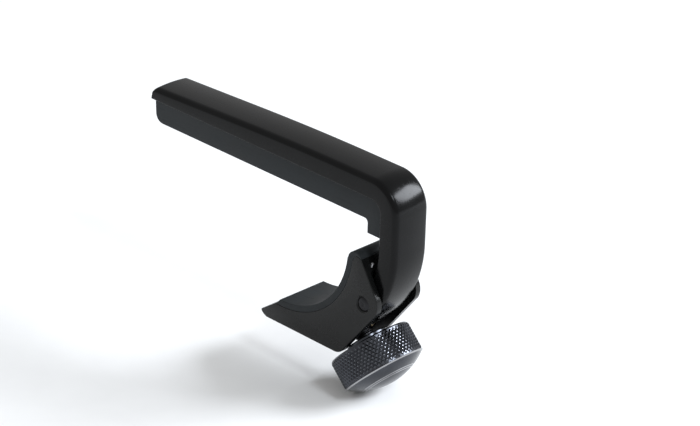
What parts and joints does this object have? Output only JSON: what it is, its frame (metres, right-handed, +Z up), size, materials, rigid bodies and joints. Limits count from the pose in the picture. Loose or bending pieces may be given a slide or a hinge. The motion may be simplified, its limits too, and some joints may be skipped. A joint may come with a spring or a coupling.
{
  "type": "guitar capo",
  "caption": "Screw-closed capo: a rubber-faced bar presses the strings while a hinged, rubber-lined jaw grips the back of the neck.",
  "frame": {"origin": "middle of the string pad's pressing face", "axes": "+X along the bar towards the arm on the treble side, +Y along the neck, +Z up out of the fingerboard"},
  "size_m": [0.0694, 0.0172, 0.0485],
  "materials": {
    "frame": "satin black",
    "pad_rubber": "dull blue-black",
    "insert_brass": "turned",
    "jaw": "fine matt black",
    "liner_rubber": "dull blue-black",
    "pin_steel": "black steel",
    "spring_steel": "bright wire",
    "screw_steel": "blackened, thread crests bright",
    "tip_nylon": "natural nylon",
    "knob_metal": "black anodised, knurled"
  },
  "bodies": {
    "frame": {"frame": "frame", "string_pad": "pad_rubber", "thread_insert": "insert_brass", "return_spring": "spring_steel"},
    "jaw": {"jaw": "jaw", "jaw_liner": "liner_rubber", "hinge_pin": "pin_steel"},
    "tip": {"screw_tip": "tip_nylon"},
    "knob": {"adjuster_screw": "screw_steel", "knob": "knob_metal"}
  },
  "joints": [
    {"name": "jaw_swing", "type": "hinge", "parent": "frame", "child": "jaw", "pos_m": [0.0306, 0, -0.017], "axis": [0, 1, 0], "range_deg": [-12, 5], "deforming": ["return_spring"]},
    {"name": "screw_travel", "type": "slide", "parent": "frame", "child": "tip", "axis": [-0.7071, 0, 0.7071], "range_m": [-0.0023, 0.00096]},
    {"name": "knob_turn", "type": "hinge", "parent": "tip", "child": "knob", "pos_m": [0.02289, 0, -0.02471], "axis": [-0.7071, 0, 0.7071], "range_deg": [-1160, 483]}
  ],
  "couplings": [
    {"joint": "jaw_swing", "follows": "knob_turn", "ratio": 0.010268},
    {"joint": "screw_travel", "follows": "knob_turn", "m_per_rad": 0.00011141}
  ]
}
